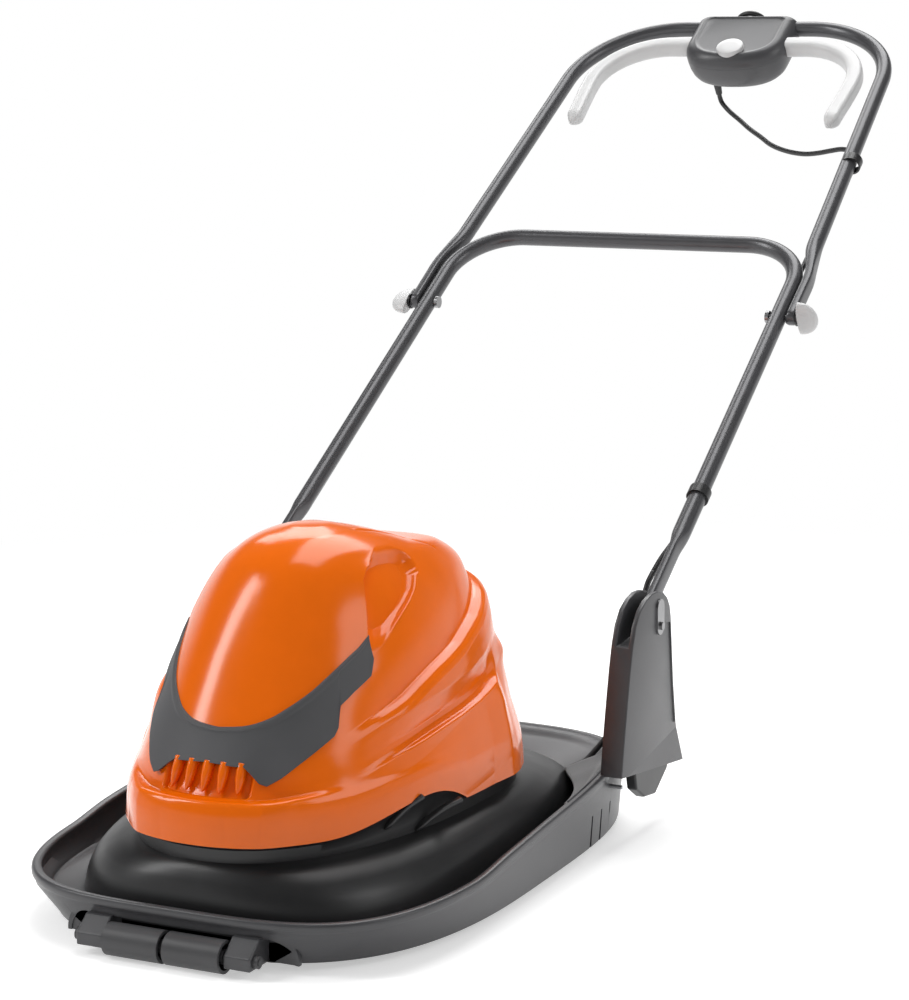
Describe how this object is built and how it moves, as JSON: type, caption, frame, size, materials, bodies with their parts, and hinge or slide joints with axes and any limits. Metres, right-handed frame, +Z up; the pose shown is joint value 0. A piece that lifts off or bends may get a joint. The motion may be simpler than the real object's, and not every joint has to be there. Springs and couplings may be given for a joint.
{
  "type": "hover mower",
  "caption": "Hover mower with an orange motor cover, a grey floating deck with front rollers, and a folding tube handle with squeeze levers.",
  "frame": {"origin": "on the ground, below the middle of the whole mower's box", "axes": "+Y from the deck towards the grip, +Z up, X across"},
  "size_m": [0.5224, 1.508, 0.8202],
  "materials": {
    "grey_plastic": "satin moulded grey",
    "black_plastic": "semi-gloss black moulding",
    "orange_plastic": "glossy orange moulding",
    "visor_plastic": "matte dark grey trim",
    "roller_plastic": "worn dark grey plastic",
    "pale_plastic": "pale grey moulding",
    "tube_paint": "glossy dark grey painted steel tube",
    "bright_steel": "zinc-plated steel",
    "copper": "wound copper and brass",
    "cable_jacket": "black cable jacket"
  },
  "bodies": {
    "deck": {"skirt": "grey_plastic", "hood": "black_plastic", "motor_cover": "orange_plastic", "visor_trim": "visor_plastic", "bracket_left": "grey_plastic", "bracket_right": "grey_plastic", "bracket_screws": "bright_steel", "pivot_pins": "bright_steel", "pivot_plates": "bright_steel", "pivot_screws": "bright_steel", "roller_axle": "bright_steel", "axle_caps": "bright_steel", "motor_plate": "roller_plastic", "plate_screws": "bright_steel", "motor_base": "bright_steel", "lower_bearing": "bright_steel", "stator_core": "bright_steel", "field_windings": "copper", "motor_cap": "bright_steel", "upper_bearing": "bright_steel", "brush_holders": "copper", "carbon_brushes": "black_plastic", "motor_screws": "bright_steel", "terminal_block": "pale_plastic", "suppressor": "black_plastic", "cable_tail": "cable_jacket", "cable_pivot_bend": "cable_jacket"},
    "rotor": {"motor_shaft": "bright_steel", "armature": "copper", "commutator": "copper", "impeller": "roller_plastic", "blade_spacer": "black_plastic", "blade": "bright_steel", "blade_bolt": "bright_steel"},
    "left_roller": {"front_roller_left": "roller_plastic"},
    "right_roller": {"front_roller_right": "roller_plastic"},
    "lower_frame": {"lower_handle": "tube_paint", "clamp_bolts": "bright_steel", "clamp_washers": "black_plastic", "cable_clip_lower": "black_plastic", "cable_lower_run": "cable_jacket", "cable_fold_bend": "cable_jacket"},
    "left_knob": {"knob_left": "pale_plastic"},
    "right_knob": {"knob_right": "pale_plastic"},
    "upper_frame": {"upper_handle": "tube_paint", "cable_clip_upper": "black_plastic", "switch_base": "grey_plastic", "switch_cover": "grey_plastic", "box_screws": "bright_steel", "lever_pins": "bright_steel", "microswitch": "black_plastic", "mains_inlet": "black_plastic", "cable_hook": "black_plastic", "cable_sleeve": "cable_jacket", "cable_loop": "cable_jacket", "cable_upper_run": "cable_jacket", "button_spring": "bright_steel"},
    "left_lever": {"lever_left": "pale_plastic"},
    "right_lever": {"lever_right": "pale_plastic"},
    "button": {"lock_button": "pale_plastic"}
  },
  "joints": [
    {"name": "handle_pivot", "type": "hinge", "parent": "deck", "child": "lower_frame", "pos_m": [0, -0.18148, 0.225], "axis": [1, 0, 0], "range_deg": [0, 145], "deforming": ["cable_pivot_bend"]},
    {"name": "handle_fold", "type": "hinge", "parent": "lower_frame", "child": "upper_frame", "pos_m": [0, 0.2158, 0.47615], "axis": [1, 0, 0], "range_deg": [-80, 0], "deforming": ["cable_fold_bend"]},
    {"name": "left_knob_turn", "type": "hinge", "parent": "lower_frame", "child": "left_knob", "pos_m": [0, 0.2158, 0.47615], "axis": [-1, 0, 0], "continuous": true},
    {"name": "right_knob_turn", "type": "hinge", "parent": "lower_frame", "child": "right_knob", "pos_m": [0, 0.2158, 0.47615], "axis": [1, 0, 0], "continuous": true},
    {"name": "right_lever_squeeze", "type": "hinge", "parent": "upper_frame", "child": "right_lever", "pos_m": [0.044, 0.68238, 0.77111], "axis": [0, -0.5344, 0.8453], "range_deg": [0, 6], "stiffness_Nm_per_rad": 3, "springref_deg": -20.05},
    {"name": "left_lever_squeeze", "type": "hinge", "parent": "upper_frame", "child": "left_lever", "pos_m": [-0.044, 0.68238, 0.77111], "axis": [0, 0.5344, -0.8453], "range_deg": [0, 6], "stiffness_Nm_per_rad": 3, "springref_deg": -20.05},
    {"name": "lock_button_press", "type": "slide", "parent": "upper_frame", "child": "button", "axis": [0, 0.5344, -0.8453], "range_m": [0, 0.004], "stiffness_N_per_m": 400, "springref_m": -0.004, "deforming": ["button_spring"]},
    {"name": "blade_spin", "type": "hinge", "parent": "deck", "child": "rotor", "pos_m": [0, -0.41948, 0.06], "axis": [0, 0, 1], "continuous": true},
    {"name": "left_roller_spin", "type": "hinge", "parent": "deck", "child": "left_roller", "pos_m": [-0.03, -0.73948, 0.015], "axis": [1, 0, 0], "continuous": true},
    {"name": "right_roller_spin", "type": "hinge", "parent": "deck", "child": "right_roller", "pos_m": [0.03, -0.73948, 0.015], "axis": [1, 0, 0], "continuous": true}
  ]
}
